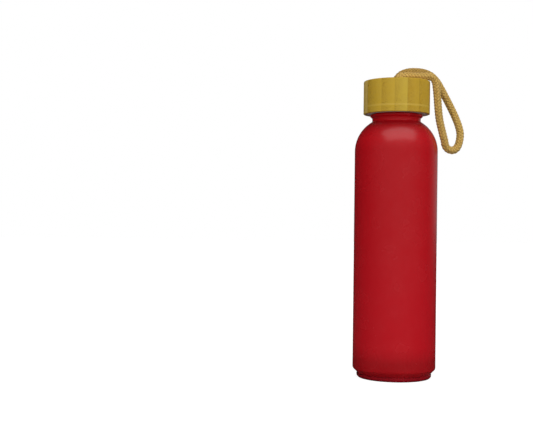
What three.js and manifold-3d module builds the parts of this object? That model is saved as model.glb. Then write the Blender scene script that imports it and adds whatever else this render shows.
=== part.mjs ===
// A 500 ml frosted glass water bottle with a screw-on bamboo cap and a cotton carry loop.
// Millimetres, +Z up. The origin is the centre of the base, on the surface the bottle stands on.
// Every round piece turns about the Z axis. The cap is shown screwed down.

import * as THREE from "three";
import Module from "manifold-3d";
import { mergeVertices } from "three/addons/utils/BufferGeometryUtils.js";

// ---- Driving dimensions ----

// Glass bottle, outside.
const BOTTLE_HEIGHT = 217.2; // standing surface to the rim of the mouth
const BODY_RADIUS = 32.5;
const SHOULDER_RADIUS = 27; // the arc that turns the straight wall into the shoulder's cone
const SHOULDER_SLOPE = (57 / 180) * Math.PI; // how far the cone leans from upright
const NECK_LENGTH = 2.8; // from the top of the shoulder's cone to the transfer bead
const NECK_FILLET = 1.2;

// Base ring and heel.
const RING_INSET = 3.2; // the ring stands in from the body wall by this much
const RING_HEIGHT = 3.4;
const RING_EDGE = 2.6; // rounding of the ring's lower edge
const GROOVE_DEPTH = 0.5; // the thin groove between the ring and the heel
const GROOVE_HEIGHT = 0.5;
const HEEL_ROUNDING = 2.5; // where the sloped heel meets the body wall
const BEARING_WIDTH = 4.2; // the flat that the bottle stands on
const PUSH_UP = 2.2; // how far the middle of the base is raised

// Glass thickness.
const WALL = 2.8;
const BOTTOM_THICKNESS = 4.6;
const INNER_HEEL_RADIUS = 5.5;

// Screw finish of the neck.
const FINISH_HEIGHT = 10; // transfer bead to rim
const FINISH_RADIUS = 17.7; // the wall that carries the thread
const FINISH_WALL = 2.4; // from that wall to the bore of the mouth
const RIM_ROUNDING = 0.7;
const NECK_STEP = 1.3; // the neck below the bead is thicker than the finish by this much
const BEAD_STEP = 2.9; // and the bead by this much
const BEAD_HEIGHT = 2;
const BEAD_ROUNDING = 0.7;
const BEAD_FLANK = 0.9; // height of the slope under the bead

// Single-start right-hand thread, six to the inch.
const THREAD_PITCH = 4.23;
const THREAD_HEIGHT = 1.3;
const THREAD_ROOT_WIDTH = 2.4;
const THREAD_CREST_WIDTH = 0.9;
const THREAD_TURNS = 1.25;
const THREAD_START = 2.1; // centre of the thread's lower end, above the bead
const LINER_THREAD_ROOT_WIDTH = 1.7;
const LINER_THREAD_CREST_WIDTH = 0.7;
const LINER_THREAD_TURNS = 1;
const LINER_THREAD_LAG = 0.25; // turns by which the liner's thread starts after the glass thread
const THREAD_FADE = 0.12; // share of a thread's length over which each end runs out
const THREAD_ROOT_SINK = 0.5; // how far a thread's root is buried in its wall

// Plastic liner in the cap.
const LINER_WALL = 1.8;
const LINER_TOP = 1.4;
const FLANGE_WIDTH = 2.6; // the flange stands out from the skirt by this much
const FLANGE_HEIGHT = 1.2;
const LINER_LEAD_IN = 0.5;

// Silicone seal.
const SEAL_THICKNESS = 1.5;
const SEAL_OVERLAP = 1.4; // how far the seal reaches in past the edge of the mouth

// Bamboo cap.
const CAP_HEIGHT = 26;
const CAP_WALL = 4.5; // around the liner's skirt
const CAP_TOP_EDGE = 1.1;
const CAP_LOWER_EDGE = 0.5;
const CAP_DISC = 4.5; // thickness of the top above the knots

// Cotton cord.
const CORD_RADIUS = 3;
const CORD_HOLE_SPREAD = 8; // each hole's distance from the axis
const HOLE_COUNTERSINK = 0.5;
const KNOT_BULGE = 3.6; // a knot stands out from its cord by this much all round

// Clearances.
const JOINT_GAP = 0.3; // between pieces that touch, and on every glued or seated face
const THREAD_GAP = 0.4; // radial, between each crest and the wall it faces
const SEAL_SIDE_GAP = 0.5;
const CORD_HOLE_GAP = 0.4;
const KNOT_GAP = 0.3;

// Smoothness.
const ROUND_SIDES = 48;
const CORD_SIDES = 10;
const CORD_STEPS = 48; // the loop is short and its bends are tight, so a step is under a diameter
const HOLE_SIDES = 16;

// ---- Derived places ----

const QUARTER = Math.PI / 2;
const TURN = 2 * Math.PI;

const mouthRadius = FINISH_RADIUS - FINISH_WALL;
const neckRadius = FINISH_RADIUS + NECK_STEP;
const beadRadius = FINISH_RADIUS + BEAD_STEP;
const beadBottom = BOTTLE_HEIGHT - FINISH_HEIGHT - BEAD_HEIGHT;
const beadTop = BOTTLE_HEIGHT - FINISH_HEIGHT;
const neckBase = beadBottom - BEAD_FLANK - NECK_LENGTH;
const arcCentreRadius = BODY_RADIUS - SHOULDER_RADIUS;
const arcEndRadius = arcCentreRadius + SHOULDER_RADIUS * Math.cos(SHOULDER_SLOPE);
const coneRise = (arcEndRadius - neckRadius) / Math.tan(SHOULDER_SLOPE);
const shoulderStart = neckBase - coneRise - SHOULDER_RADIUS * Math.sin(SHOULDER_SLOPE);

const ringRadius = BODY_RADIUS - RING_INSET;
const heelBottom = RING_HEIGHT + GROOVE_HEIGHT;
const bearingInner = ringRadius - RING_EDGE - BEARING_WIDTH;
const bottomInside = PUSH_UP + BOTTOM_THICKNESS;
const bodyInner = BODY_RADIUS - WALL;

const threadCrest = FINISH_RADIUS + THREAD_HEIGHT;
const linerBore = threadCrest + THREAD_GAP;
const linerThreadCrest = FINISH_RADIUS + THREAD_GAP;
const linerOuter = linerBore + LINER_WALL;
const sealBottom = BOTTLE_HEIGHT + JOINT_GAP;
const sealTop = sealBottom + SEAL_THICKNESS;
const linerCeiling = sealTop + JOINT_GAP;
const linerTop = linerCeiling + LINER_TOP;

const capBottom = beadTop + JOINT_GAP;
const capTop = capBottom + CAP_HEIGHT;
const capBore = linerOuter + JOINT_GAP;
const capRadius = capBore + CAP_WALL;
const counterboreRadius = linerOuter + FLANGE_WIDTH + JOINT_GAP;
const counterboreTop = capBottom + FLANGE_HEIGHT + JOINT_GAP;
const cavityTop = capTop - CAP_DISC;
const cordHoleRadius = CORD_RADIUS + CORD_HOLE_GAP;

// The liner's thread hangs below the glass thread by half of both widths where they overlap, plus the gap.
const widthAt = (root, crest, share) => root + (crest - root) * share;
const glassShare = THREAD_GAP / THREAD_HEIGHT;
const glassFlank = widthAt(THREAD_ROOT_WIDTH, THREAD_CREST_WIDTH, glassShare) / 2;
const threadDrop = glassFlank + LINER_THREAD_CREST_WIDTH / 2 + JOINT_GAP;

// The cord's centre line, from the front knot up through its hole, along the cap's top, down the
// hanging loop, back up, and over to the back hole. Chosen by hand, and kept when other sizes change.
const CORD_ROUTE = [
  [0, -8, 229.0],
  [0, -8, 231.0],
  [0.1, -8, 232.7],
  [0.4, -8, 234.2],
  [1.4, -8, 235.6],
  [2.9, -8, 236.5],
  [4.8, -8, 236.8],
  [12.5, -7.9, 236.8],
  [20.5, -7.6, 236.8],
  [24.6, -7.3, 236.7],
  [27.8, -6.9, 235.5],
  [29.6, -6.5, 232.4],
  [30.4, -6.2, 228.0],
  [31.2, -5.8, 221.0],
  [32.0, -5.3, 212.2],
  [33.2, -4.6, 203.5],
  [35.6, -3.6, 194.1],
  [37.6, -2.6, 187.2],
  [38.6, -1.9, 183.3],
  [40.8, -0.9, 180.7],
  [44.0, 0.4, 179.8],
  [47.2, 1.6, 180.9],
  [49.3, 2.5, 183.6],
  [50.7, 3.3, 188.0],
  [51.2, 3.9, 193.2],
  [50.1, 4.5, 199.0],
  [47.2, 5.1, 206.8],
  [43.3, 5.5, 215.0],
  [39.4, 5.8, 222.6],
  [35.9, 6.2, 229.2],
  [32.3, 6.7, 235.2],
  [27.8, 7.2, 239.6],
  [22.4, 7.6, 242.0],
  [16.2, 7.9, 242.8],
  [10.2, 8, 242.5],
  [5.2, 8, 240.8],
  [1.9, 8, 238.0],
  [0.3, 8, 234.6],
  [0, 8, 231.4],
  [0, 8, 229.0],
];

// ---- Geometry helpers ----

const wasm = await Module();
wasm.setup();

const point = (radius, height) => new THREE.Vector2(radius, height);

// Points on an arc in the radius-height plane, from one angle to another.
function arc(radius, height, size, from, to, steps) {
  const curve = new THREE.EllipseCurve(radius, height, size, size, from, to, to < from);
  return curve.getPoints(steps);
}

// A round solid: a profile of radius-height points turned about the Z axis.
function turned(profile, sides = ROUND_SIDES) {
  return new THREE.LatheGeometry(profile, sides).rotateX(QUARTER);
}

// Shared vertices merged, and the triangles that close to nothing on the axis left out.
function closed(geometry) {
  const plain = new THREE.BufferGeometry();
  plain.setAttribute("position", geometry.getAttribute("position"));
  plain.setIndex(geometry.getIndex());
  const merged = mergeVertices(plain, 1e-4);
  const corners = merged.getIndex().array;
  const kept = [];
  for (let i = 0; i < corners.length; i += 3) {
    const [a, b, c] = corners.slice(i, i + 3);
    if (a !== b && b !== c && c !== a) kept.push(a, b, c);
  }
  merged.setIndex(kept);
  return merged;
}

function toSolid(geometry) {
  const shape = closed(geometry);
  return new wasm.Manifold(
    new wasm.Mesh({
      numProp: 3,
      vertProperties: new Float32Array(shape.getAttribute("position").array),
      triVerts: new Uint32Array(shape.getIndex().array),
    }),
  );
}

function toGeometry(solid) {
  const made = solid.getMesh();
  const geometry = new THREE.BufferGeometry();
  geometry.setAttribute("position", new THREE.BufferAttribute(made.vertProperties, 3));
  geometry.setIndex(new THREE.BufferAttribute(made.triVerts, 1));
  geometry.computeVertexNormals();
  return geometry;
}

function named(name, geometry, look) {
  const mesh = new THREE.Mesh(geometry, new THREE.MeshStandardMaterial(look));
  mesh.name = name;
  return mesh;
}

// A thread: a straight bar of the thread's section, wrapped round the Z axis as a helix.
// `outward` is 1 for a thread on the outside of a wall and -1 for one on the inside.
// The flanks run on into the wall, and each step of the wrap is one side of the round.
function threadRidge({ wallRadius, height, rootWidth, crestWidth, turns, angle, start, outward }) {
  const buriedWidth = widthAt(rootWidth, crestWidth, -THREAD_ROOT_SINK / height);
  const section = new THREE.Shape([
    point(-THREAD_ROOT_SINK, -buriedWidth / 2),
    point(height, -crestWidth / 2),
    point(height, crestWidth / 2),
    point(-THREAD_ROOT_SINK, buriedWidth / 2),
  ]);
  const steps = Math.round(turns * ROUND_SIDES);
  const bar = new THREE.ExtrudeGeometry(section, { depth: 1, steps, bevelEnabled: false });
  const place = bar.getAttribute("position");
  const corner = new THREE.Vector3();
  for (let i = 0; i < place.count; i++) {
    corner.fromBufferAttribute(place, i);
    const along = corner.z;
    const grown = Math.min(1, along / THREAD_FADE, (1 - along) / THREAD_FADE);
    const runOut = -THREAD_ROOT_SINK / 2;
    const rise = corner.x < 0 ? corner.x : runOut + (corner.x - runOut) * Math.sin(grown * QUARTER);
    const radius = wallRadius + outward * rise;
    const turn = angle + along * turns * TURN;
    const lift = start + along * turns * THREAD_PITCH;
    // The section is symmetric, so turning it over on the outside keeps every face pointing out.
    place.setXYZ(i, radius * Math.cos(turn), radius * Math.sin(turn), lift - outward * corner.y);
  }
  return bar;
}

// ---- Glass bottle ----

function bottleProfile() {
  const base = [
    point(0, PUSH_UP),
    point(bearingInner * 0.5, PUSH_UP * 0.75),
    point(bearingInner, 0),
    ...arc(ringRadius - RING_EDGE, RING_EDGE, RING_EDGE, -QUARTER, 0, 3),
    point(ringRadius, RING_HEIGHT),
    point(ringRadius - GROOVE_DEPTH, RING_HEIGHT + GROOVE_HEIGHT * 0.3),
    point(ringRadius - GROOVE_DEPTH, heelBottom),
  ];
  // The heel slopes out at 45 degrees from the groove and rounds into the wall.
  const heelReach = HEEL_ROUNDING * Math.tan(Math.PI / 8);
  const heelTop = heelBottom + RING_INSET + GROOVE_DEPTH + heelReach;
  const heel = arc(BODY_RADIUS - HEEL_ROUNDING, heelTop, HEEL_ROUNDING, -Math.PI / 4, 0, 3);
  const shoulder = arc(arcCentreRadius, shoulderStart, SHOULDER_RADIUS, 0, SHOULDER_SLOPE, 7);
  const filletReach = NECK_FILLET * Math.tan(SHOULDER_SLOPE / 2);
  const neckFillet = arc(
    neckRadius + NECK_FILLET,
    neckBase + filletReach,
    NECK_FILLET,
    Math.PI + SHOULDER_SLOPE,
    Math.PI,
    3,
  );
  const bead = [
    point(neckRadius, beadBottom - BEAD_FLANK),
    ...arc(beadRadius - BEAD_ROUNDING, beadBottom + BEAD_ROUNDING, BEAD_ROUNDING, -QUARTER / 2, 0, 2),
    ...arc(beadRadius - BEAD_ROUNDING, beadTop - BEAD_ROUNDING, BEAD_ROUNDING, 0, QUARTER, 3),
  ];
  const rimHeight = BOTTLE_HEIGHT - RIM_ROUNDING;
  const rim = [
    point(FINISH_RADIUS, beadTop),
    ...arc(FINISH_RADIUS - RIM_ROUNDING, rimHeight, RIM_ROUNDING, 0, QUARTER, 3),
    ...arc(mouthRadius + RIM_ROUNDING, rimHeight, RIM_ROUNDING, QUARTER, 2 * QUARTER, 3),
  ];
  // Inside, the shoulder is the outer one moved in by the wall, and the bottom has a round corner.
  const innerArc = SHOULDER_RADIUS - WALL;
  const innerEnd = arcCentreRadius + innerArc * Math.cos(SHOULDER_SLOPE);
  const innerRise = (innerEnd - mouthRadius) / Math.tan(SHOULDER_SLOPE);
  const innerNeckBase = shoulderStart + innerArc * Math.sin(SHOULDER_SLOPE) + innerRise;
  const inside = [
    point(mouthRadius, innerNeckBase + filletReach),
    point(
      mouthRadius + filletReach * Math.sin(SHOULDER_SLOPE),
      innerNeckBase - filletReach * Math.cos(SHOULDER_SLOPE),
    ),
    ...arc(arcCentreRadius, shoulderStart, innerArc, SHOULDER_SLOPE, 0, 5),
    ...arc(
      bodyInner - INNER_HEEL_RADIUS,
      bottomInside + INNER_HEEL_RADIUS,
      INNER_HEEL_RADIUS,
      0,
      -QUARTER,
      4,
    ),
    point(0, bottomInside),
  ];
  return [...base, ...heel, ...shoulder, ...neckFillet, ...bead, ...rim, ...inside];
}

function glassBottle() {
  const body = toSolid(turned(bottleProfile()));
  const thread = toSolid(
    threadRidge({
      wallRadius: FINISH_RADIUS,
      height: THREAD_HEIGHT,
      rootWidth: THREAD_ROOT_WIDTH,
      crestWidth: THREAD_CREST_WIDTH,
      turns: THREAD_TURNS,
      angle: 0,
      start: beadTop + THREAD_START,
      outward: 1,
    }),
  );
  return named("glass_bottle", toGeometry(body.add(thread)), {
    color: 0xa81c24,
    roughness: 0.45,
    metalness: 0,
  });
}

// ---- Cap ----

function threadedLiner() {
  const profile = [
    point(0, linerCeiling),
    point(linerBore, linerCeiling),
    point(linerBore, capBottom + LINER_LEAD_IN),
    point(linerBore + LINER_LEAD_IN, capBottom),
    point(linerOuter + FLANGE_WIDTH, capBottom),
    point(linerOuter + FLANGE_WIDTH, capBottom + FLANGE_HEIGHT),
    point(linerOuter, capBottom + FLANGE_HEIGHT),
    point(linerOuter, linerTop),
    point(0, linerTop),
  ];
  const ridge = threadRidge({
    wallRadius: linerBore,
    height: linerBore - linerThreadCrest,
    rootWidth: LINER_THREAD_ROOT_WIDTH,
    crestWidth: LINER_THREAD_CREST_WIDTH,
    turns: LINER_THREAD_TURNS,
    angle: LINER_THREAD_LAG * TURN,
    start: beadTop + THREAD_START - threadDrop + LINER_THREAD_LAG * THREAD_PITCH,
    outward: -1,
  });
  const liner = toSolid(turned(profile)).add(toSolid(ridge));
  return named("threaded_liner", toGeometry(liner), {
    color: 0xe4e4da,
    roughness: 0.5,
    metalness: 0,
  });
}

function bambooCap() {
  const profile = [
    point(0, cavityTop),
    point(capBore, cavityTop),
    point(capBore, counterboreTop),
    point(counterboreRadius, counterboreTop),
    point(counterboreRadius, capBottom),
    point(capRadius - CAP_LOWER_EDGE, capBottom),
    point(capRadius, capBottom + CAP_LOWER_EDGE),
    ...arc(capRadius - CAP_TOP_EDGE, capTop - CAP_TOP_EDGE, CAP_TOP_EDGE, 0, QUARTER, 4),
    point(0, capTop),
  ];
  let cap = toSolid(turned(profile));
  const drill = [
    point(0, cavityTop - 1),
    point(cordHoleRadius, cavityTop - 1),
    point(cordHoleRadius, capTop - HOLE_COUNTERSINK),
    point(cordHoleRadius + HOLE_COUNTERSINK, capTop),
    point(cordHoleRadius + HOLE_COUNTERSINK, capTop + 1),
    point(0, capTop + 1),
  ];
  for (const side of [-1, 1]) {
    const hole = turned(drill, HOLE_SIDES).translate(0, side * CORD_HOLE_SPREAD, 0);
    cap = cap.subtract(toSolid(hole));
  }
  return named("bamboo_cap", toGeometry(cap), {
    color: 0xb8973a,
    roughness: 0.6,
    metalness: 0,
  });
}

function sealRing() {
  const outer = linerBore - SEAL_SIDE_GAP;
  const inner = mouthRadius - SEAL_OVERLAP;
  const profile = [
    point(inner, sealBottom),
    point(outer, sealBottom),
    point(outer, sealTop),
    point(inner, sealTop),
    point(inner, sealBottom),
  ];
  return named("seal_ring", turned(profile), {
    color: 0xe9e6e0,
    roughness: 0.65,
    metalness: 0,
  });
}

// ---- Cord ----

function carryCord() {
  const route = CORD_ROUTE.map(([x, y, z]) => new THREE.Vector3(x, y, z));
  const path = new THREE.CatmullRomCurve3(route, false, "centripetal");
  const circle = new THREE.EllipseCurve(0, 0, CORD_RADIUS, CORD_RADIUS, 0, TURN);
  const section = new THREE.Shape(circle.getPoints(CORD_SIDES).slice(0, CORD_SIDES));
  const tube = new THREE.ExtrudeGeometry(section, {
    steps: CORD_STEPS,
    extrudePath: path,
    curveSegments: CORD_SIDES,
  });
  return named("carry_cord", tube, { color: 0xc9a35c, roughness: 0.9, metalness: 0 });
}

// Each end of the cord is knotted in the space between the cap's top and the liner. The knot is
// pulled flat against the edge of its hole.
function stopperKnot(name, side) {
  const low = linerTop + KNOT_GAP;
  const high = cavityTop - KNOT_GAP;
  const flat = cordHoleRadius + KNOT_GAP;
  const bulge = CORD_RADIUS + KNOT_BULGE - flat;
  const rounding = new THREE.EllipseCurve(flat, (low + high) / 2, bulge, (high - low) / 2, -QUARTER, QUARTER);
  const profile = [point(0, low), ...rounding.getPoints(6), point(0, high)];
  const knot = turned(profile, HOLE_SIDES).translate(0, side * CORD_HOLE_SPREAD, 0);
  return named(name, knot, { color: 0xc9a35c, roughness: 0.9, metalness: 0 });
}

// ---- Assembly ----

const bottle = new THREE.Group();
bottle.add(glassBottle());

const cap = new THREE.Group();
cap.add(bambooCap(), threadedLiner(), sealRing());
cap.add(carryCord(), stopperKnot("stopper_knot_front", -1), stopperKnot("stopper_knot_back", 1));
bottle.add(cap);

export default bottle;
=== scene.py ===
# A frosted glass water bottle with a screw-on bamboo cap and a braided cotton carry loop.
# Metres, +Z up. The bottle stands on the origin, and the camera looks along +Y.

import math
import random

import bmesh
import bpy
from mathutils import Matrix, Vector


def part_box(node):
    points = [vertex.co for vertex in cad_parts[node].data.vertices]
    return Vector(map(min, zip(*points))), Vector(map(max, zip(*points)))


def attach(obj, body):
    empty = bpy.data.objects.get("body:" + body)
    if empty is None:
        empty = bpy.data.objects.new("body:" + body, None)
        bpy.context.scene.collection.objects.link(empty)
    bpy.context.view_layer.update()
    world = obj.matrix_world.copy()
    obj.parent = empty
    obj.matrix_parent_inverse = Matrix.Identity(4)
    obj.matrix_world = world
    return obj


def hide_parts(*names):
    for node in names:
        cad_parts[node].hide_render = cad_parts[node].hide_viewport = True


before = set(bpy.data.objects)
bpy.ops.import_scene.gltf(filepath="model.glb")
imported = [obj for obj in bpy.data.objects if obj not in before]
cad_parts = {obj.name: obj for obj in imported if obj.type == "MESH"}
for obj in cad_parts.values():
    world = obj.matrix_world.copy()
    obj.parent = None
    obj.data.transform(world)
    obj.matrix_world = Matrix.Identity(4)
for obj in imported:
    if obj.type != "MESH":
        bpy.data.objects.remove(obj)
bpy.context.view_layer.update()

MM = 0.001
TURN = 2 * math.pi
QUARTER = math.pi / 2

# ---- Sizes in millimetres, as the CAD source has them ----

# Places that the frame gives.
glass_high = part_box("glass_bottle")[1] / MM
cap_low, cap_high = (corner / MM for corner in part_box("bamboo_cap"))
liner_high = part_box("threaded_liner")[1] / MM
seal_low, seal_high = (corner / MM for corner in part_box("seal_ring"))

BOTTLE_HEIGHT = glass_high.z
BODY_RADIUS = glass_high.x
CAP_RADIUS = cap_high.x
CAP_BOTTOM = cap_low.z
CAP_TOP = cap_high.z
FLANGE_RADIUS = liner_high.x

# Glass, outside.
SHOULDER_RADIUS = 27
SHOULDER_SLOPE = math.radians(57)  # how far the shoulder's cone leans from upright
NECK_LENGTH = 2.8
NECK_FILLET = 1.2
RING_INSET = 3.2
RING_HEIGHT = 3.4
RING_EDGE = 2.6
GROOVE_DEPTH = 0.5
GROOVE_HEIGHT = 0.5
GROOVE_LIP = 0.15
GROOVE_RAMP = 0.3  # share of the groove's height in which it reaches its depth
HEEL_ROUNDING = 2.5
HEEL_SLOPE = math.pi / 4
BEARING_WIDTH = 4.2
PUSH_UP = 2.2
PUSH_UP_FLATNESS = 0.8  # power of the cosine that the push-up follows: flatter in the middle when smaller
WALL_ROW = 20  # height of a row of faces on the straight wall
WALL_MARGIN = 4  # the wall's first and last rows, from its ends

# Glass, inside and finish.
WALL = 2.8
BOTTOM_THICKNESS = 4.6
INNER_HEEL_RADIUS = 5.5
FINISH_HEIGHT = 10
FINISH_RADIUS = 17.7
FINISH_WALL = 2.4
RIM_ROUNDING = 0.9  # a little rounder than the CAD's, as on a fire-polished rim
NECK_RADIUS = 19
BEAD_RADIUS = 20.6
BEAD_HEIGHT = 2
BEAD_ROUNDING = 0.7
BEAD_FLANK = 0.9
BEAD_FOOT = (0.1, 0.2)  # the small step where the neck runs into the bead: out, and down

# Threads.
THREAD_PITCH = 4.23
THREAD_HEIGHT = 1.3
THREAD_ROOT_WIDTH = 2.4
THREAD_CREST_WIDTH = 0.9
THREAD_TURNS = 1.25
THREAD_START = 2.1
THREAD_FADE = 0.12
THREAD_GAP = 0.4
THREAD_ROW = 0.2  # height of a row of faces where a thread runs
LINER_THREAD_ROOT_WIDTH = 1.7
LINER_THREAD_CREST_WIDTH = 0.7
LINER_THREAD_LAG = 0.25
JOINT_GAP = 0.3

# Cap and liner.
LINER_BORE = 19.4
LINER_OUTER = 21.2
LINER_TOP = 1.4
FLANGE_HEIGHT = 1.2
LINER_LEAD_IN = 0.5
CAP_BORE = 21.5
COUNTERBORE_RADIUS = 24.1
COUNTERBORE_DEPTH = 1.5
CAP_TOP_EDGE = 1.1
CAP_LOWER_EDGE = 0.5
CAP_DISC = 4.5
LINER_ROUNDING = 0.35
SEAL_OVERLAP = 1.4  # the seal reaches this far in past the wall of the mouth
SEAL_ROUNDING = 0.3

# Cord.
CORD_HOLE_RADIUS = 3.4
CORD_HOLE_SPREAD = 8
HOLE_ROUNDING = 0.5

bead_top = BOTTLE_HEIGHT - FINISH_HEIGHT
bead_bottom = bead_top - BEAD_HEIGHT
neck_base = bead_bottom - BEAD_FLANK - NECK_LENGTH
mouth_radius = FINISH_RADIUS - FINISH_WALL
shoulder_centre = BODY_RADIUS - SHOULDER_RADIUS
shoulder_end = shoulder_centre + SHOULDER_RADIUS * math.cos(SHOULDER_SLOPE)
cone_rise = (shoulder_end - NECK_RADIUS) / math.tan(SHOULDER_SLOPE)
shoulder_start = neck_base - cone_rise - SHOULDER_RADIUS * math.sin(SHOULDER_SLOPE)
ring_radius = BODY_RADIUS - RING_INSET
inner_radius = BODY_RADIUS - WALL
bottom_inside = PUSH_UP + BOTTOM_THICKNESS
cavity_top = CAP_TOP - CAP_DISC
thread_start = bead_top + THREAD_START

# The cord's centre line, in millimetres: the points that the CAD cord follows.
CORD_ROUTE = [
    (0, -8, 229.0),
    (0, -8, 231.0),
    (0.1, -8, 232.7),
    (0.4, -8, 234.2),
    (1.4, -8, 235.6),
    (2.9, -8, 236.5),
    (4.8, -8, 236.8),
    (12.5, -7.9, 236.8),
    (20.5, -7.6, 236.8),
    (24.6, -7.3, 236.7),
    (27.8, -6.9, 235.5),
    (29.6, -6.5, 232.4),
    (30.4, -6.2, 228.0),
    (31.2, -5.8, 221.0),
    (32.0, -5.3, 212.2),
    (33.2, -4.6, 203.5),
    (35.6, -3.6, 194.1),
    (37.6, -2.6, 187.2),
    (38.6, -1.9, 183.3),
    (40.8, -0.9, 180.7),
    (44.0, 0.4, 179.8),
    (47.2, 1.6, 180.9),
    (49.3, 2.5, 183.6),
    (50.7, 3.3, 188.0),
    (51.2, 3.9, 193.2),
    (50.1, 4.5, 199.0),
    (47.2, 5.1, 206.8),
    (43.3, 5.5, 215.0),
    (39.4, 5.8, 222.6),
    (35.9, 6.2, 229.2),
    (32.3, 6.7, 235.2),
    (27.8, 7.2, 239.6),
    (22.4, 7.6, 242.0),
    (16.2, 7.9, 242.8),
    (10.2, 8, 242.5),
    (5.2, 8, 240.8),
    (1.9, 8, 238.0),
    (0.3, 8, 234.6),
    (0, 8, 231.4),
    (0, 8, 229.0),
]

# Braid: strands wind both ways round the cord, each over two and under two of the others.
STRANDS = 6  # in each direction
BRAID_LEAD = 14.4  # length in which a strand goes once round
STRAND_CREST = 3.15  # the crests stand a little proud of the cord's mean radius
STRAND_RELIEF = 0.85  # depth of the valleys between strands
STRAND_HALF = 0.56  # half a strand's width, in steps of the braid: over a half, so that strands meet
STRAND_SPAN = 2.24  # length that a strand shows between two dives, in steps
STRAND_PLUMPNESS = 0.45  # a strand's ends are blunter when this is smaller
GRAIN_SHIFT = 3.7  # sets each strand's fibres apart from the next one's
RING_STEP = 0.25
RING_SIDES = 72
TINT_SEED = 11

# The last stretch of the cord, over the cap, is darker: painted shade. Both are lengths along the cord.
BACK_RUN_SHADE_START = 152
BACK_RUN_SHADE_FADE = 20

# Smoothness.
ROUND_SIDES = 160
SHARP_ANGLE = math.radians(38)


# ---- Camera ----

CAMERA_DISTANCE = 0.79
CAMERA_LEFT = 0.1018  # the bottle stands to the right of the camera's axis
CAMERA_HEIGHT = 0.1207
CAMERA_ROLL = math.radians(-0.65)
LENS = 67.5
SENSOR = 36


def make_camera():
    data = bpy.data.cameras.new("camera")
    data.lens = LENS
    data.sensor_width = SENSOR
    camera = bpy.data.objects.new("camera", data)
    bpy.context.scene.collection.objects.link(camera)
    camera.location = (-CAMERA_LEFT, -CAMERA_DISTANCE, CAMERA_HEIGHT)
    camera.rotation_euler = (QUARTER, CAMERA_ROLL, 0)
    bpy.context.scene.camera = camera


# ---- Mesh helpers ----


def link(name, mesh):
    made = bpy.data.objects.new(name, mesh)
    bpy.context.scene.collection.objects.link(made)
    return made


def mesh_object(name, points, faces):
    """An object from points in millimetres and the faces that join them, smooth but for its edges."""
    mesh = bpy.data.meshes.new(name)
    mesh.from_pydata([Vector(p) * MM for p in points], [], faces)
    soften(mesh)
    return link(name, mesh)


def soften(mesh):
    mesh.polygons.foreach_set("use_smooth", [True] * len(mesh.polygons))
    mesh.set_sharp_from_angle(angle=SHARP_ANGLE)
    mesh.update()


def arc(radius, height, size, start, end, steps):
    """Points on an arc in the radius-height plane."""
    angles = [start + (end - start) * i / steps for i in range(steps + 1)]
    return [(radius + size * math.cos(a), height + size * math.sin(a)) for a in angles]


def rows_between(radius, low, high, step):
    """Points straight up or down a wall, about a step apart."""
    steps = max(1, round(abs(high - low) / step))
    return [(radius, low + (high - low) * i / steps) for i in range(steps + 1)]


def lathe(name, profile, sides=ROUND_SIDES, shaped=None, ring=False):
    """A profile of (radius, height) points turned about Z. It starts and ends on the axis, or is a ring.
    `shaped` gives the radius of a point from its turn, its radius and its height."""
    points = []
    rows = []
    for radius, height in profile:
        if radius < 1e-9:
            rows.append([len(points)])
            points.append((0, 0, height))
            continue
        rows.append(list(range(len(points), len(points) + sides)))
        for i in range(sides):
            turn = i / sides
            at = shaped(turn, radius, height) if shaped else radius
            points.append((at * math.cos(turn * TURN), at * math.sin(turn * TURN), height))
    faces = []
    pairs = list(zip(rows, rows[1:]))
    if ring:
        pairs.append((rows[-1], rows[0]))
    for low, high in pairs:
        for i in range(sides):
            j = (i + 1) % sides
            if len(low) == 1:
                faces.append((low[0], high[j], high[i]))
            elif len(high) == 1:
                faces.append((low[i], low[j], high[0]))
            else:
                faces.append((low[i], low[j], high[j], high[i]))
    return mesh_object(name, points, faces)


def smooth_step(x):
    x = max(0.0, min(1.0, x))
    return x * x * (3 - 2 * x)


def thread_rise(turns_up, length, distance, root_width, crest_width):
    """How far up a thread's flank a point is, from 0 to 1, with the thread run out at both ends."""
    if not 0 <= turns_up <= length:
        return 0.0
    along = turns_up / length
    grown = math.sin(min(1, along / THREAD_FADE, (1 - along) / THREAD_FADE) * QUARTER)
    return grown * smooth_step((root_width / 2 - abs(distance)) / ((root_width - crest_width) / 2))


# ---- Glass bottle ----


def glass_radius(turn, radius, height):
    """The finish wall with its single-start thread."""
    if not math.isclose(radius, FINISH_RADIUS):
        return radius
    rise = 0.0
    for extra in range(2):
        turns_up = turn + extra
        distance = height - thread_start - turns_up * THREAD_PITCH
        rise = max(
            rise,
            thread_rise(turns_up, THREAD_TURNS, distance, THREAD_ROOT_WIDTH, THREAD_CREST_WIDTH),
        )
    return radius + THREAD_HEIGHT * rise


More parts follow.
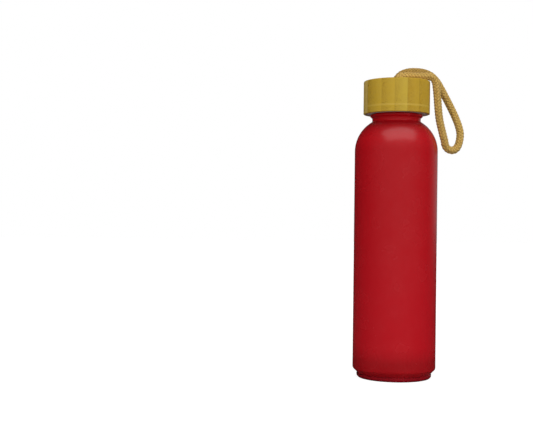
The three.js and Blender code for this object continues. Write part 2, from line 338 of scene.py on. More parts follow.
def glass_outside():
    """The outside, from the middle of the base up to the foot of the rim."""
    bearing_inner = ring_radius - RING_EDGE - BEARING_WIDTH
    heel_bottom = RING_HEIGHT + GROOVE_HEIGHT
    heel_reach = HEEL_ROUNDING * math.tan(HEEL_SLOPE / 2)
    heel_top = heel_bottom + RING_INSET + GROOVE_DEPTH + heel_reach
    groove_radius = ring_radius - GROOVE_DEPTH
    fillet_reach = NECK_FILLET * math.tan(SHOULDER_SLOPE / 2)
    steps = 12
    push_up = [
        (bearing_inner * i / steps, PUSH_UP * math.cos(QUARTER * i / steps) ** PUSH_UP_FLATNESS)
        for i in range(1, steps)
    ]
    base = [(0, PUSH_UP), *push_up, (bearing_inner, 0)]
    base += arc(ring_radius - RING_EDGE, RING_EDGE, RING_EDGE, -QUARTER, 0, 8)
    base += [(ring_radius, RING_HEIGHT - GROOVE_LIP)]
    base += [(ring_radius - GROOVE_LIP, RING_HEIGHT)]
    base += [(groove_radius, RING_HEIGHT + GROOVE_HEIGHT * GROOVE_RAMP), (groove_radius, heel_bottom)]
    heel = arc(BODY_RADIUS - HEEL_ROUNDING, heel_top, HEEL_ROUNDING, -HEEL_SLOPE, 0, 8)
    wall = rows_between(BODY_RADIUS, heel_top + WALL_MARGIN, shoulder_start - WALL_MARGIN, WALL_ROW)
    shoulder = arc(shoulder_centre, shoulder_start, SHOULDER_RADIUS, 0, SHOULDER_SLOPE, 28)
    fillet = arc(
        NECK_RADIUS + NECK_FILLET,
        neck_base + fillet_reach,
        NECK_FILLET,
        math.pi + SHOULDER_SLOPE,
        math.pi,
        8,
    )
    bead_low = arc(
        BEAD_RADIUS - BEAD_ROUNDING, bead_bottom + BEAD_ROUNDING, BEAD_ROUNDING, -QUARTER / 2, 0, 5
    )
    bead_high = arc(
        BEAD_RADIUS - BEAD_ROUNDING, bead_top - BEAD_ROUNDING, BEAD_ROUNDING, 0, QUARTER, 8
    )
    foot_out, foot_down = BEAD_FOOT
    bead_foot = bead_bottom - BEAD_FLANK
    neck = [(NECK_RADIUS, bead_foot - foot_down), (NECK_RADIUS + foot_out, bead_foot)]
    finish = rows_between(FINISH_RADIUS, bead_top, BOTTLE_HEIGHT - RIM_ROUNDING, THREAD_ROW)
    return base + heel + wall + shoulder + fillet + neck + bead_low + bead_high + finish


def glass_inside():
    """The rim, and the inside from the mouth down to the middle of the bottom."""
    rim = BOTTLE_HEIGHT - RIM_ROUNDING
    rim_outer = arc(FINISH_RADIUS - RIM_ROUNDING, rim, RIM_ROUNDING, 0, QUARTER, 8)[1:]
    rim_inner = arc(mouth_radius + RIM_ROUNDING, rim, RIM_ROUNDING, QUARTER, 2 * QUARTER, 8)
    inner_arc = SHOULDER_RADIUS - WALL
    inner_end = shoulder_centre + inner_arc * math.cos(SHOULDER_SLOPE)
    inner_rise = (inner_end - mouth_radius) / math.tan(SHOULDER_SLOPE)
    inner_base = shoulder_start + inner_arc * math.sin(SHOULDER_SLOPE) + inner_rise
    reach = NECK_FILLET * math.tan(SHOULDER_SLOPE / 2)
    fillet = arc(
        mouth_radius + NECK_FILLET,
        inner_base + reach,
        NECK_FILLET,
        math.pi,
        math.pi + SHOULDER_SLOPE,
        6,
    )
    shoulder = arc(shoulder_centre, shoulder_start, inner_arc, SHOULDER_SLOPE, 0, 20)
    corner = arc(
        inner_radius - INNER_HEEL_RADIUS,
        bottom_inside + INNER_HEEL_RADIUS,
        INNER_HEEL_RADIUS,
        0,
        -QUARTER,
        12,
    )
    bottom = [(inner_radius - INNER_HEEL_RADIUS) * share for share in (0.75, 0.5, 0.25)]
    floor = [(radius, bottom_inside) for radius in bottom]
    return rim_outer, rim_inner + fillet + shoulder + corner + floor + [(0, bottom_inside)]


def make_bottle(outer_look, inner_look):
    """The bottle, with the coat outside and bare glass on the faces that look inwards."""
    outside = glass_outside()
    rim, inside = glass_inside()
    bottle = lathe("frosted_glass_bottle", outside + rim + inside, shaped=glass_radius)
    bottle.data.materials.append(outer_look)
    bottle.data.materials.append(inner_look)
    mouth = BOTTLE_HEIGHT * MM
    for face in bottle.data.polygons:
        x, y, z = face.center
        outwards = face.normal.x * x + face.normal.y * y
        floor_inside = z > PUSH_UP * 1.5 * MM and math.hypot(x, y) < inner_radius * MM
        if z < mouth and (outwards < 0 or (floor_inside and z < mouth / 2)):
            face.material_index = 1
    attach(bottle, "bottle")
    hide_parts("glass_bottle")


# ---- Cap, liner and seal ----

CUT_MERGE = 0.002  # edges shorter than this, left by a cut, are closed up


def apply_modifiers(target):
    """Gives the target the mesh that its modifiers make, and returns that mesh."""
    view = bpy.context.evaluated_depsgraph_get()
    mesh = bpy.data.meshes.new_from_object(target.evaluated_get(view))
    old = target.data
    target.modifiers.clear()
    target.data = mesh
    bpy.data.meshes.remove(old)
    return mesh


def cut(target, tools):
    """Takes each tool out of the target, closes up the slivers that this leaves, and softens the edges."""
    for tool in tools:
        step = target.modifiers.new("cut", "BOOLEAN")
        step.operation = "DIFFERENCE"
        step.solver = "EXACT"
        step.object = tool
    mesh = apply_modifiers(target)
    for tool in tools:
        bpy.data.objects.remove(tool)
    faces = bmesh.new()
    faces.from_mesh(mesh)
    bmesh.ops.triangulate(faces, faces=faces.faces)
    bmesh.ops.dissolve_degenerate(faces, dist=CUT_MERGE * MM, edges=faces.edges)
    faces.to_mesh(mesh)
    faces.free()
    soften(mesh)


def cord_hole(side):
    """What a cord hole takes out of the cap: a bore with a rounded mouth, past both faces."""
    over = 1
    rounding = arc(
        CORD_HOLE_RADIUS + HOLE_ROUNDING,
        CAP_TOP - HOLE_ROUNDING,
        HOLE_ROUNDING,
        math.pi,
        QUARTER,
        6,
    )
    profile = [(0, cavity_top - over), (CORD_HOLE_RADIUS, cavity_top - over), *rounding]
    profile += [(CORD_HOLE_RADIUS + HOLE_ROUNDING, CAP_TOP + over), (0, CAP_TOP + over)]
    tool = lathe("cord_hole", profile, 64)
    tool.data.transform(Matrix.Translation((0, side * CORD_HOLE_SPREAD * MM, 0)))
    return tool


def make_cap(look):
    counterbore_top = CAP_BOTTOM + COUNTERBORE_DEPTH
    profile = [(0, cavity_top), (CAP_BORE, cavity_top), (CAP_BORE, counterbore_top)]
    profile += [(COUNTERBORE_RADIUS, counterbore_top), (COUNTERBORE_RADIUS, CAP_BOTTOM)]
    lower = CAP_BOTTOM + CAP_LOWER_EDGE
    profile += arc(CAP_RADIUS - CAP_LOWER_EDGE, lower, CAP_LOWER_EDGE, -QUARTER, 0, 6)
    upper = CAP_TOP - CAP_TOP_EDGE
    profile += arc(CAP_RADIUS - CAP_TOP_EDGE, upper, CAP_TOP_EDGE, 0, QUARTER, 8)
    profile += [(0, CAP_TOP)]
    cap = lathe("turned_bamboo_cap", profile)
    cut(cap, [cord_hole(-1), cord_hole(1)])
    cap.data.materials.append(look)
    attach(cap, "cap")
    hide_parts("bamboo_cap")


def liner_radius(turn, radius, height):
    """The skirt's bore with the thread that meets the glass thread."""
    if not math.isclose(radius, LINER_BORE):
        return radius
    glass_flank = (
        THREAD_ROOT_WIDTH + (THREAD_CREST_WIDTH - THREAD_ROOT_WIDTH) * THREAD_GAP / THREAD_HEIGHT
    ) / 2
    drop = glass_flank + LINER_THREAD_CREST_WIDTH / 2 + JOINT_GAP
    start = thread_start - drop + LINER_THREAD_LAG * THREAD_PITCH
    turns_up = (turn - LINER_THREAD_LAG) % 1
    distance = height - start - turns_up * THREAD_PITCH
    rise = thread_rise(turns_up, 1, distance, LINER_THREAD_ROOT_WIDTH, LINER_THREAD_CREST_WIDTH)
    return radius - (LINER_BORE - FINISH_RADIUS - THREAD_GAP) * rise


def make_liner(look):
    ceiling = liner_high.z - LINER_TOP
    flange_top = CAP_BOTTOM + FLANGE_HEIGHT
    rounding = LINER_ROUNDING
    profile = [(0, ceiling)]
    profile += rows_between(LINER_BORE, ceiling, CAP_BOTTOM + LINER_LEAD_IN, THREAD_ROW)
    profile += [(LINER_BORE + LINER_LEAD_IN, CAP_BOTTOM)]
    rim = FLANGE_RADIUS - rounding
    profile += arc(rim, CAP_BOTTOM + rounding, rounding, -QUARTER, 0, 4)
    profile += arc(rim, flange_top - rounding, rounding, 0, QUARTER, 4)
    profile += [(LINER_OUTER, flange_top)]
    profile += arc(LINER_OUTER - rounding, liner_high.z - rounding, rounding, 0, QUARTER, 4)
    profile += [(0, liner_high.z)]
    liner = lathe("threaded_plastic_liner", profile, shaped=liner_radius)
    liner.data.materials.append(look)
    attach(liner, "cap")
    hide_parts("threaded_liner")


def make_seal(look):
    inner = mouth_radius - SEAL_OVERLAP
    rounding = SEAL_ROUNDING
    corners = [
        (inner + rounding, seal_low.z + rounding, math.pi),
        (seal_high.x - rounding, seal_low.z + rounding, 1.5 * math.pi),
        (seal_high.x - rounding, seal_high.z - rounding, 0),
        (inner + rounding, seal_high.z - rounding, QUARTER),
    ]
    profile = []
    for radius, height, start in corners:
        profile += arc(radius, height, rounding, start, start + QUARTER, 5)
    seal = lathe("silicone_seal", profile, ring=True)
    seal.data.materials.append(look)
    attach(seal, "seal")
    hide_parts("seal_ring")


# ---- Cord and knots ----

SPLINE_FINENESS = 4  # points on the curve for each step that is kept


def spline(route, step):
    """Points about a step apart on the centripetal Catmull-Rom curve through the route."""
    places = [Vector(p) for p in route]
    places = [2 * places[0] - places[1], *places, 2 * places[-1] - places[-2]]
    made = []
    for a, b, c, d in zip(places, places[1:], places[2:], places[3:]):
        t0 = 0.0
        t1 = t0 + math.sqrt((b - a).length)
        t2 = t1 + math.sqrt((c - b).length)
        t3 = t2 + math.sqrt((d - c).length)
        steps = max(2, round((c - b).length / step * SPLINE_FINENESS))
        for i in range(steps):
            t = t1 + (t2 - t1) * i / steps
            ab = a * ((t1 - t) / (t1 - t0)) + b * ((t - t0) / (t1 - t0))
            bc = b * ((t2 - t) / (t2 - t1)) + c * ((t - t1) / (t2 - t1))
            cd = c * ((t3 - t) / (t3 - t2)) + d * ((t - t2) / (t3 - t2))
            abc = ab * ((t2 - t) / (t2 - t0)) + bc * ((t - t0) / (t2 - t0))
            bcd = bc * ((t3 - t) / (t3 - t1)) + cd * ((t - t1) / (t3 - t1))
            made.append(abc * ((t2 - t) / (t2 - t1)) + bcd * ((t - t1) / (t2 - t1)))
    made.append(places[-2])
    return evenly(made, step)


def evenly(points, step):
    """The same line with points an equal distance apart."""
    along = [0.0]
    for a, b in zip(points, points[1:]):
        along.append(along[-1] + (b - a).length)
    count = max(2, round(along[-1] / step))
    made = []
    j = 0
    for i in range(count + 1):
        at = along[-1] * i / count
        while j < len(along) - 2 and along[j + 1] < at:
            j += 1
        share = (at - along[j]) / max(1e-9, along[j + 1] - along[j])
        made.append(points[j].lerp(points[j + 1], share))
    return made


def strand_at(u, v):
    """What shows at a place on the braid: its height from 0 to 1, the strand's number, and the place's
    distances across and along that strand, in steps of the braid.
    u counts the strands that climb one way round the cord, and v those that climb the other way."""
    i, j = math.floor(u), math.floor(v)
    over = (i + j) % 4
    if over < 2:
        across, along, number = u - i - 0.5, over + v - j, i % STRANDS
    else:
        across, along, number = v - j - 0.5, over - 2 + u - i, STRANDS + j % STRANDS
    crown = math.sqrt(max(0.0, 1 - (across / STRAND_HALF) ** 2))
    from_dive = along + (STRAND_SPAN - 2) / 2  # over the two strands it crosses, and a little past them
    dive = max(0.0, math.sin(math.pi * from_dive / STRAND_SPAN)) ** STRAND_PLUMPNESS
    return crown * dive, number, (across, along)


def braided_tube(name, line, radius, relief=STRAND_RELIEF, sides=RING_SIDES):
    """A closed tube along the line, with the strands of the braid raised on its surface."""
    tints = random.Random(TINT_SEED)
    strand_tint = [tints.random() for _ in range(2 * STRANDS)]
    points, faces, heights, shades, grain = [], [], [], [], []
    side = (line[1] - line[0]).orthogonal().normalized()
    travelled = 0.0
    for k, centre in enumerate(line):
        ahead = line[min(k + 1, len(line) - 1)] - line[max(k - 1, 0)]
        ahead.normalize()
        side = (side - ahead * side.dot(ahead)).normalized()
        up = ahead.cross(side)
        if k:
            travelled += (centre - line[k - 1]).length
        rise = STRANDS * travelled / BRAID_LEAD
        for n in range(sides):
            turn = n / sides
            height, strand, (across, along) = strand_at(STRANDS * turn + rise, STRANDS * turn - rise)
            at = radius - relief * (1 - height)
            angle = turn * TURN
            points.append(centre + (side * math.cos(angle) + up * math.sin(angle)) * at)
            heights.append(height)
            shades.append(strand_tint[strand])
            grain.append((across, along + strand * GRAIN_SHIFT, travelled))
    rings = len(line)
    for k in range(rings - 1):
        for n in range(sides):
            m = (n + 1) % sides
            faces.append((k * sides + n, k * sides + m, (k + 1) * sides + m, (k + 1) * sides + n))
    for ring, end in ((0, line[0]), (rings - 1, line[-1])):
        centre = len(points)
        points.append(end)
        heights.append(0.5)
        shades.append(0.5)
        grain.append((0, 0, 0))
        for n in range(sides):
            a, b = ring * sides + n, ring * sides + (n + 1) % sides
            faces.append((centre, b, a) if ring == 0 else (centre, a, b))
    tube = mesh_object(name, points, faces)
    for label, values in (("strand_height", heights), ("strand_tint", shades)):
        layer = tube.data.attributes.new(label, "FLOAT", "POINT")
        layer.data.foreach_set("value", values)
    layer = tube.data.attributes.new("strand_grain", "FLOAT_VECTOR", "POINT")
    layer.data.foreach_set("vector", [x for place in grain for x in place])
    return tube


def make_cord(look):
    line = spline(CORD_ROUTE, RING_STEP)
    cord = braided_tube("braided_carry_cord", line, STRAND_CREST)
    cord.data.materials.append(look)
    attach(cord, "cap")
    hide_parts("carry_cord")
    return cord, [tuple(p * MM) for p in line]


# A stopper knot: the cord's end tied over itself and pulled tight, as a trefoil squeezed into its space.
KNOT_STRAND = 2.15  # the cord's radius where it is pulled tight
KNOT_RELIEF = 0.4
KNOT_SIDES = 40
KNOT_STEPS = 96
KNOT_SWAY = 0.75  # how far the knot's lobes reach out, as a share of how far they go up and down
KNOT_ROOM = 0.1  # left free above and below the knot, and half as much at its sides
KNOT_VOXEL = 0.22  # size of the cells that fuse the crossings


def make_knot(name, node, look):
    """A knot that fills the node's box, with its crossings fused into one skin."""
    low, high = (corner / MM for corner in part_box(node))
    centre = (low + high) / 2
    swing = (high.z - low.z) / 2 - KNOT_STRAND - KNOT_ROOM
    loop_radius = (high.x - low.x) / 2 - KNOT_STRAND - swing * KNOT_SWAY - KNOT_ROOM / 2
    route = []
    for i in range(KNOT_STEPS):
        a = TURN * i / KNOT_STEPS
        reach = loop_radius + swing * KNOT_SWAY * math.cos(3 * a)
        route.append(
            centre + Vector((reach * math.cos(2 * a), reach * math.sin(2 * a), swing * math.sin(3 * a)))
        )
    line = evenly([*route, route[0]], RING_STEP)
    knot = braided_tube(name, line, KNOT_STRAND, relief=KNOT_RELIEF, sides=KNOT_SIDES)
    step = knot.modifiers.new("fuse", "REMESH")
    step.mode = "VOXEL"
    step.voxel_size = KNOT_VOXEL * MM
    mesh = apply_modifiers(knot)
    mesh.polygons.foreach_set("use_smooth", [True] * len(mesh.polygons))
    mesh.materials.clear()
    mesh.materials.append(look)
    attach(knot, "cap")
    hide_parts(node)
    return knot


# ---- Material helpers ----


def colour(red, green, blue):
    """A colour given as it looks on a screen, from 0 to 255, as the linear numbers that a shader takes."""
    made = []
    for value in (red, green, blue):
        share = value / 255
        made.append(share / 12.92 if share <= 0.04045 else ((share + 0.055) / 1.055) ** 2.4)
    return (*made, 1)


class Look:
    """A node material: a Principled shader, and short ways to add what feeds it."""

    def __init__(self, name):
        self.material = bpy.data.materials.new(name)
        self.material.use_nodes = True
        self.tree = self.material.node_tree
        self.shader = self.tree.nodes["Principled BSDF"]

    def put(self, socket, value):
        if isinstance(value, bpy.types.NodeSocket):
            self.tree.links.new(value, socket)
        else:
            socket.default_value = value

    def node(self, kind, inputs=None, **settings):
        made = self.tree.nodes.new(kind)
        for key, value in settings.items():
            setattr(made, key, value)
        for key, value in (inputs or {}).items():
            self.put(made.inputs[key], value)
        return made

    def set(self, **values):
        for key, value in values.items():
            self.put(self.shader.inputs[key.replace("_", " ")], value)

    def maths(self, operation, *values):
        made = self.node("ShaderNodeMath", operation=operation)
        for socket, value in zip(made.inputs, values):
            self.put(socket, value)
        return made.outputs[0]

    def place(self, scale=(1, 1, 1)):
        """Object coordinates in millimetres, each multiplied by its scale."""
        where = self.node("ShaderNodeTexCoord").outputs["Object"]
        stretch = tuple(s / MM for s in scale)
        made = self.node("ShaderNodeMapping", {"Vector": where, "Scale": stretch})
        return made.outputs["Vector"]

    def axis(self, vector, letter):
        return self.node("ShaderNodeSeparateXYZ", {"Vector": vector}).outputs[letter]

    def noise(self, vector, scale, detail=2.0, roughness=0.5):
        inputs = {"Vector": vector, "Scale": scale, "Detail": detail, "Roughness": roughness}
        return self.node("ShaderNodeTexNoise", inputs).outputs[0]

    def spread(self, value, low, high, to_low=0.0, to_high=1.0):
        inputs = {
            "Value": value,
            "From Min": low,
            "From Max": high,
            "To Min": to_low,
            "To Max": to_high,
        }
        made = self.node("ShaderNodeMapRange", inputs, interpolation_type="SMOOTHSTEP")
        return made.outputs[0]

    def ramp(self, value, stops, interpolation="LINEAR"):
        made = self.node("ShaderNodeValToRGB", {"Fac": value})
        scale = made.color_ramp
        scale.interpolation = interpolation
        while len(scale.elements) < len(stops):
            scale.elements.new(1)
        for element, (where, shade) in zip(scale.elements, stops):
            element.position = where
            element.color = shade
        return made.outputs["Color"]

    def mix(self, share, first, second):
        made = self.node("ShaderNodeMix", data_type="RGBA", blend_type="MIX")
        for socket, value in zip((made.inputs[0], made.inputs[6], made.inputs[7]), (share, first, second)):
            self.put(socket, value)
        return made.outputs[2]

    def bump(self, height, depth, normal=None):
        """Relief of that depth in millimetres where the height goes from 0 to 1."""
        inputs = {"Height": height, "Distance": depth * MM, "Strength": 1.0}
        if normal is not None:
            inputs["Normal"] = normal
        return self.node("ShaderNodeBump", inputs).outputs["Normal"]


# ---- Materials ----


def frosted_red_glass():
    """Glass with a satin red coat of fine grain. Towards the heel it is darker, for the thicker glass
    there and as painted shade near the floor. Painted shade also darkens the upper shoulder and the crease
    where it meets the neck. A faint mould seam runs up both sides."""
    look = Look("frosted_red_glass")
    where = look.place()
    height = look.axis(where, "Z")
    side = look.axis(where, "Y")
    # Tone by height. The lowest stops are darker for the thick glass and as painted shade near the floor;
    # the dip from 0.86 to 0.924 is painted shade on the upper shoulder and in the crease under the neck.
    tone = look.ramp(
        look.maths("DIVIDE", height, BOTTLE_HEIGHT),
        [
            (0.0, colour(140, 8, 20)),
            (0.016, colour(148, 14, 28)),
            (0.0175, colour(178, 16, 28)),
            (0.032, colour(186, 17, 26)),
            (0.04, colour(166, 13, 22)),
            (0.065, colour(166, 13, 22)),
            (0.09, colour(186, 16, 28)),
            (0.12, colour(198, 18, 31)),
            (0.3, colour(198, 18, 31)),
            (0.6, colour(194, 15, 27)),
            (0.86, colour(194, 14, 26)),
            (0.88, colour(184, 12, 23)),
            (0.898, colour(168, 11, 22)),
            (0.908, colour(154, 10, 19)),
            (0.916, colour(136, 9, 17)),
            (0.924, colour(146, 9, 17)),
            (0.93, colour(192, 12, 22)),
            (0.945, colour(202, 12, 22)),
            (1.0, colour(196, 12, 22)),
        ],
    )
    cloud = look.noise(where, 0.06, 3.0)
    tone = look.mix(look.spread(cloud, 0.35, 0.7, 0.0, 0.1), tone, colour(206, 26, 36))
    grain = look.noise(where, 5.0, 3.0, 0.6)
    tone = look.mix(look.spread(grain, 0.3, 0.75, 0.0, 0.12), tone, colour(150, 8, 16))
    look.set(Base_Color=tone)
    look.set(Roughness=look.spread(cloud, 0.3, 0.7, 0.23, 0.28))
    peel = look.noise(where, 0.35, 1.0)
    seam = look.spread(look.maths("ABSOLUTE", side), 0.15, 0.5, 1.0, 0.0)
    relief = look.bump(peel, 0.02)
    relief = look.bump(seam, 0.04, relief)
    look.set(Normal=look.bump(grain, 0.008, relief))
    look.set(Specular_IOR_Level=0.33)
    return look.material


def red_glass_inside():
    """The smooth inner face of the glass, with the coat's colour behind it."""
    look = Look("red_glass_inside")
    where = look.place()
    ripple = look.noise(where, 0.12, 1.0)
    tone = look.mix(look.spread(ripple, 0.3, 0.7), colour(120, 12, 20), colour(142, 18, 26))
    look.set(Base_Color=tone)
    look.set(Roughness=0.12, IOR=1.5)
    look.set(Normal=look.bump(ripple, 0.05))
    return look.material


STRIP_WIDTH = 9.7
STRIP_OFFSET = 0.25  # the middle strip's centre from the axis
PALE_LINE = 5.4  # height above the cap's lower edge of a faint paler line round the cap
# The first and last strips fall only on the cap's left and right edges: the first, paler, is a painted
# reflection, and the last, darker, is painted shade.
STRIP_TONES_WITH_PAINTED_EDGES = [
    colour(222, 188, 100),
    colour(212, 173, 54),
    colour(208, 171, 54),
    colour(212, 180, 65),
    colour(204, 165, 50),
    colour(212, 172, 52),
    colour(196, 152, 48),
]


def bamboo():
    """Bamboo glued up from strips that run from front to back: end grain there, long grain elsewhere."""
    look = Look("laminated_bamboo")
    where = look.place()
    across = look.axis(where, "X")
    height = look.axis(where, "Z")
    count = len(STRIP_TONES_WITH_PAINTED_EDGES)
    low = STRIP_OFFSET - STRIP_WIDTH * count / 2
    share = look.maths("DIVIDE", look.maths("SUBTRACT", across, low), STRIP_WIDTH * count)
    stops = [(i / count, tone) for i, tone in enumerate(STRIP_TONES_WITH_PAINTED_EDGES)]
    # the outer strips paint a reflection on the cap's left edge and shade on its right edge
    tone = look.ramp(share, stops, "CONSTANT")
    in_strip = look.maths("FRACT", look.maths("MULTIPLY", share, count))

    cloud = look.noise(look.place((0.25, 0.02, 0.25)), 1.0, 3.0)
    tone = look.mix(look.spread(cloud, 0.3, 0.7, 0.0, 0.35), tone, colour(206, 174, 72))
    tone = look.mix(look.spread(in_strip, 0.0, 0.9, 0.28, 0.0), tone, colour(176, 132, 34))
    fibre = look.noise(look.place((3.2, 0.12, 3.2)), 1.0, 4.0, 0.7)
    tone = look.mix(look.spread(fibre, 0.45, 0.75, 0.0, 0.5), tone, colour(154, 114, 30))

    cells = look.node(
        "ShaderNodeTexVoronoi",
        {"Vector": look.place((1.15, 0.03, 1.15)), "Scale": 1.0, "Randomness": 0.9},
    ).outputs["Distance"]
    density = look.spread(in_strip, 0.0, 1.0, 0.32, 0.14)
    pores = look.maths("SUBTRACT", density, cells)
    pores = look.spread(pores, 0.0, 0.1)
    tone = look.mix(look.maths("MULTIPLY", pores, 0.7), tone, colour(120, 80, 20))

    edge = look.maths("ABSOLUTE", look.maths("SUBTRACT", in_strip, 0.5))
    glue = look.spread(edge, 0.485, 0.497)
    tone = look.mix(look.maths("MULTIPLY", glue, 0.5), tone, colour(122, 88, 28))
    # a faint paler line round the cap
    pale_line = look.maths("ABSOLUTE", look.maths("SUBTRACT", height, CAP_BOTTOM + PALE_LINE))
    tone = look.mix(look.spread(pale_line, 0.5, 1.0, 0.38, 0.0), tone, colour(226, 196, 92))
    look.set(Base_Color=tone)

    look.set(Roughness=look.spread(fibre, 0.3, 0.7, 0.5, 0.66))
    relief = look.bump(fibre, 0.05)
    relief = look.bump(look.maths("SUBTRACT", 1.0, pores), 0.08, relief)
    relief = look.bump(look.maths("SUBTRACT", 1.0, glue), 0.04, relief)
    look.set(Normal=relief)
    look.set(Specular_IOR_Level=0.12)
    return look.material


def white_plastic():
    """Moulded natural-white plastic, a little cloudy."""
    look = Look("white_liner_plastic")
    where = look.place()
    cloud = look.noise(where, 0.2, 2.0)
    tone = look.mix(look.spread(cloud, 0.3, 0.7), colour(224, 224, 212), colour(236, 236, 226))
    look.set(Base_Color=tone)
    grain = look.noise(where, 4.0, 2.0)
    look.set(Roughness=look.spread(grain, 0.3, 0.7, 0.38, 0.5))
    look.set(Normal=look.bump(grain, 0.01))
    return look.material


def silicone():
    """Matt whitish silicone."""
    look = Look("clear_silicone")
    where = look.place()
    cloud = look.noise(where, 0.5, 2.0)
    tone = look.mix(look.spread(cloud, 0.3, 0.7), colour(222, 220, 212), colour(238, 236, 230))
    look.set(Base_Color=tone)
    grain = look.noise(where, 6.0, 2.0)
    look.set(Roughness=look.spread(grain, 0.3, 0.7, 0.55, 0.68))
    look.set(Normal=look.bump(grain, 0.015))
    return look.material


def cotton(name, braided):
    """Undyed cotton. On the cord each strand's tint colours it, and painted shade darkens the valleys
    between strands and the last stretch over the cap.
    """
    look = Look(name)
    where = look.place()
    fuzz = look.noise(where, 5.0, 4.0, 0.7)
    cloud = look.noise(where, 0.25, 2.0)
    tone = look.mix(look.spread(cloud, 0.3, 0.7), colour(212, 172, 84), colour(222, 184, 100))
    if braided:
        tint = look.node("ShaderNodeAttribute", attribute_name="strand_tint").outputs["Fac"]
        raised = look.node("ShaderNodeAttribute", attribute_name="strand_height").outputs["Fac"]
        grain = look.node("ShaderNodeAttribute", attribute_name="strand_grain").outputs["Vector"]
        tone = look.mix(look.spread(tint, 0.0, 1.0, 0.0, 0.35), tone, colour(200, 158, 72))
        # painted shade: the last stretch of the cord, over the cap, is darker
        run = look.spread(look.axis(grain, "Z"), BACK_RUN_SHADE_START, BACK_RUN_SHADE_START + BACK_RUN_SHADE_FADE, 0.0, 0.6)
        tone = look.mix(run, tone, colour(150, 108, 30))
        # painted shade in the valleys between the strands
        tone = look.mix(look.spread(raised, 0.2, 0.85, 0.9, 0.0), tone, colour(112, 74, 18))
        plies = look.node("ShaderNodeMapping", {"Vector": grain, "Scale": (9.0, 1.6, 0.0)})
        fibre = look.noise(plies.outputs["Vector"], 1.0, 3.0, 0.6)
    else:
        fibre = look.noise(where, 1.4, 3.0, 0.6)
    tone = look.mix(look.spread(fibre, 0.35, 0.7, 0.0, 0.4), tone, colour(226, 192, 112))
    tone = look.mix(look.spread(fuzz, 0.4, 0.75, 0.0, 0.35), tone, colour(164, 122, 46))
    look.set(Base_Color=tone)
    look.set(Roughness=look.spread(fuzz, 0.3, 0.7, 0.82, 0.95))
    relief = look.bump(fibre, 0.12)
    look.set(Normal=look.bump(fuzz, 0.06, relief))
    look.set(Sheen_Weight=0.25, Sheen_Roughness=0.5, Specular_IOR_Level=0.2)
    return look.material


# ---- Studio ----

# Each room is a base brightness and soft lamps: a direction, the cosines from it where the lamp's glow
# starts and is whole, and its brightness. One room lights the object, and the object mirrors the other.
ROOM_LIGHT = (0.05, [((0.04, -0.95, 0.3), 0.0, 1.0, 1.7), ((0.95, 0.0, 0.2), 0.2, 1.0, 0.13)])
ROOM_MIRRORED = (0.02, [((0.7, 0.7, 0.0), 0.75, 1.0, 0.36), ((0.0, -0.2, 1.0), 0.6, 1.0, 0.16)])
FLOOR_GLOW = 0.9  # the floor is lit evenly for the camera, and shows only a faint contact shadow
FLOOR_HALF = 6  # metres


def make_floor():
    """A pale floor. It can't be seen from below, so that the base of the bottle can."""
    look = Look("pale_floor")
    speck = look.noise(look.place(), 0.02, 2.0)
    rays = look.node("ShaderNodeLightPath").outputs
    pale = look.mix(speck, colour(164, 164, 164), colour(168, 168, 168))
    look.set(Base_Color=look.mix(rays["Is Glossy Ray"], pale, colour(60, 60, 60)))
    look.set(Roughness=0.9, Specular_IOR_Level=0.0, Emission_Color=(1, 1, 1, 1))
    look.set(Emission_Strength=look.maths("MULTIPLY", rays["Is Camera Ray"], FLOOR_GLOW))
    clear = look.node("ShaderNodeBsdfTransparent")
    under = look.node("ShaderNodeNewGeometry").outputs["Backfacing"]
    both = look.node("ShaderNodeMixShader", {0: under})
    look.put(both.inputs[1], look.shader.outputs[0])
    look.put(both.inputs[2], clear.outputs[0])
    look.put(look.tree.nodes["Material Output"].inputs["Surface"], both.outputs[0])
    corners = [(x * FLOOR_HALF, y * FLOOR_HALF, 0) for x, y in ((-1, -1), (1, -1), (1, 1), (-1, 1))]
    mesh = bpy.data.meshes.new("floor")
    mesh.from_pydata(corners, [], [(0, 1, 2, 3)])
    mesh.materials.append(look.material)
    link("floor", mesh)


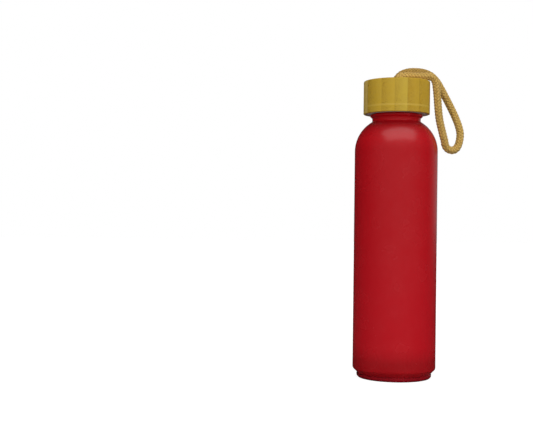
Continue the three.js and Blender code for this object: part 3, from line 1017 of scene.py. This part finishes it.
def make_world():
    """A white backdrop for the camera, and for the rest a soft room lit from the front and a little from
    the right. Mirrored rays see a dark room, with a lamp behind on the right and a soft ceiling."""
    world = bpy.data.worlds.new("studio")
    bpy.context.scene.world = world
    world.use_nodes = True
    world.cycles.sampling_method = "NONE"
    tree = world.node_tree
    where = tree.nodes.new("ShaderNodeTexCoord").outputs["Generated"]

    def maths(operation, first, second):
        made = tree.nodes.new("ShaderNodeMath")
        made.operation = operation
        for socket, value in zip(made.inputs, (first, second)):
            if isinstance(value, bpy.types.NodeSocket):
                tree.links.new(value, socket)
            else:
                socket.default_value = value
        return made.outputs[0]

    def room(base, lamps):
        total = base
        for direction, start, whole, brightness in lamps:
            towards = tree.nodes.new("ShaderNodeVectorMath")
            towards.operation = "DOT_PRODUCT"
            tree.links.new(where, towards.inputs[0])
            towards.inputs[1].default_value = Vector(direction).normalized()
            glow = tree.nodes.new("ShaderNodeMapRange")
            tree.links.new(towards.outputs["Value"], glow.inputs["Value"])
            glow.inputs["From Min"].default_value = start
            glow.inputs["From Max"].default_value = whole
            glow.inputs["To Max"].default_value = brightness
            total = maths("ADD", glow.outputs[0], total)
        return total

    lit = room(*ROOM_LIGHT)
    mirrored = room(*ROOM_MIRRORED)
    rays = tree.nodes.new("ShaderNodeLightPath").outputs

    def choose(ray, then, otherwise):
        made = tree.nodes.new("ShaderNodeMix")
        tree.links.new(rays[ray], made.inputs[0])
        for socket, value in zip((made.inputs[2], made.inputs[3]), (otherwise, then)):
            if isinstance(value, bpy.types.NodeSocket):
                tree.links.new(value, socket)
            else:
                socket.default_value = value
        return made.outputs[0]

    strength = choose("Is Camera Ray", 1.0, choose("Is Glossy Ray", mirrored, lit))
    background = tree.nodes["Background"]
    tree.links.new(strength, background.inputs["Strength"])
    background.inputs["Color"].default_value = (1, 1, 1, 1)


def softbox(name, place, target, width, height, power):
    data = bpy.data.lights.new(name, "AREA")
    data.shape = "RECTANGLE"
    data.size = width
    data.size_y = height
    data.energy = power
    lamp = bpy.data.objects.new(name, data)
    bpy.context.scene.collection.objects.link(lamp)
    lamp.location = place
    lamp.rotation_euler = (Vector(target) - Vector(place)).to_track_quat("-Z", "Y").to_euler()
    return lamp


def make_lights():
    """A softbox above and in front. Only reflections show it: it makes the highlight on the shoulder."""
    middle = (0, 0, 0.13)
    highlight = softbox("overhead_softbox", (0.07, -0.56, 1.1), middle, 1.6, 0.86, 8.4)
    highlight.visible_diffuse = False


# ---- Assembly ----

bpy.context.scene.view_settings.view_transform = "Standard"

make_camera()
cord, cord_line = make_cord(cotton("braided_cotton", True))
knot_look = cotton("knotted_cotton", False)
knots = [
    make_knot("front_stopper_knot", "stopper_knot_front", knot_look),
    make_knot("back_stopper_knot", "stopper_knot_back", knot_look),
]
make_bottle(frosted_red_glass(), red_glass_inside())
make_cap(bamboo())
make_liner(white_plastic())
make_seal(silicone())
make_floor()
make_world()
make_lights()
